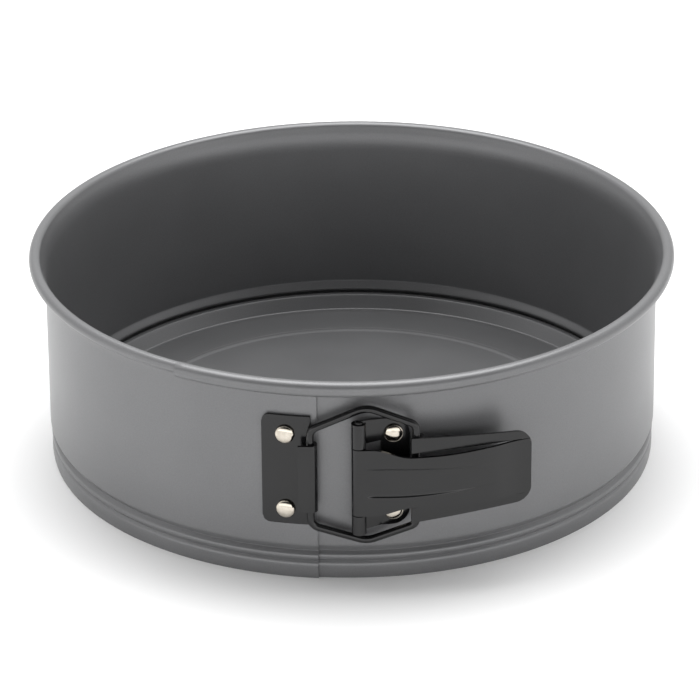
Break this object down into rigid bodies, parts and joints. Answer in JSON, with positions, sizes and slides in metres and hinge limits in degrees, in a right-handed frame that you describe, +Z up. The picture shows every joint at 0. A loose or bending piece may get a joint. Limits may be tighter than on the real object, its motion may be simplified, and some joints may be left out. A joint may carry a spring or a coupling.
{
  "type": "springform pan",
  "caption": "Round baking tin whose coated steel band closes on a loose base plate with a toggle latch of keeper, wire bail and hinged lever.",
  "frame": {"origin": "centre of the base plate's flat underside, on the pan's axis", "axes": "+Z up along the pan's axis, towards the rolled rim; -Y towards the latch; +X to the right of someone who faces the latch"},
  "size_m": [0.2422, 0.2446, 0.081],
  "materials": {
    "coated_steel": "dark grey non-stick coating, satin",
    "black_paint": "black, semi-gloss",
    "nickel": "bright nickel"
  },
  "bodies": {
    "band_right": {"band_right_half": "coated_steel", "base_plate": "coated_steel", "hinge_bracket": "black_paint", "hinge_pin": "black_paint", "hinge_rivet_upper": "nickel", "hinge_rivet_lower": "nickel"},
    "band_left": {"band_left_half": "coated_steel", "keeper_bracket": "black_paint", "keeper_rivet_upper": "nickel", "keeper_rivet_lower": "nickel"},
    "bail": {"bail_wire": "black_paint"},
    "lever": {"lever": "black_paint"}
  },
  "joints": [
    {"name": "lever_swing", "type": "hinge", "parent": "band_right", "child": "lever", "pos_m": [0.002, -0.1207, 0.04045], "axis": [0, 0, -1], "range_deg": [0, 110]},
    {"name": "band_spring", "type": "hinge", "parent": "band_right", "child": "band_left", "pos_m": [0.01351, 0.12045, 0.037], "axis": [0, 0, -1], "range_deg": [0, 3.6]},
    {"name": "bail_swing", "type": "hinge", "parent": "band_left", "child": "bail", "pos_m": [-0.0153, -0.117, 0.04045], "axis": [0, 0, -1], "range_deg": [0, 37]}
  ],
  "couplings": [
    {"joint": "band_spring", "follows": "lever_swing", "ratio": 0.0317},
    {"joint": "bail_swing", "follows": "lever_swing", "ratio": 0.3295}
  ]
}
